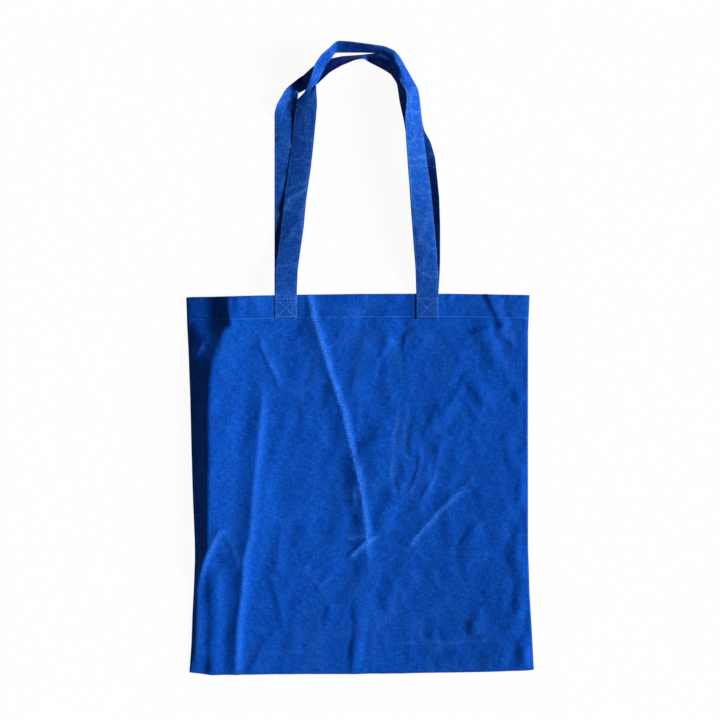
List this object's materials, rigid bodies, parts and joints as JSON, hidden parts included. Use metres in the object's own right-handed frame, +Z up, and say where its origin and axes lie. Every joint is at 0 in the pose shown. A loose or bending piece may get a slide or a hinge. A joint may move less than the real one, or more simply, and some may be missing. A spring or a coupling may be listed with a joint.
{
  "type": "tote bag",
  "caption": "Empty cotton tote bag lying on its back, open at the mouth, with long flat handles sewn outside the hem.",
  "frame": {"origin": "middle of the outline of bag and handles, on the surface that the bag lies on", "axes": "+Y from the bottom fold past the mouth to the handles, +Z up out of the front panel, +X across the bag to the right as seen from the front"},
  "size_m": [0.386, 0.7016, 0.0383],
  "materials": {
    "body_cotton": "matte plain-woven cotton, creased",
    "front_handle_cotton": "matte plain-woven cotton, folded and edge-stitched",
    "back_handle_cotton": "matte plain-woven cotton, folded and edge-stitched"
  },
  "bodies": {
    "root": {"bag_body": "body_cotton", "front_handle": "front_handle_cotton", "back_handle": "back_handle_cotton"}
  },
  "joints": []
}
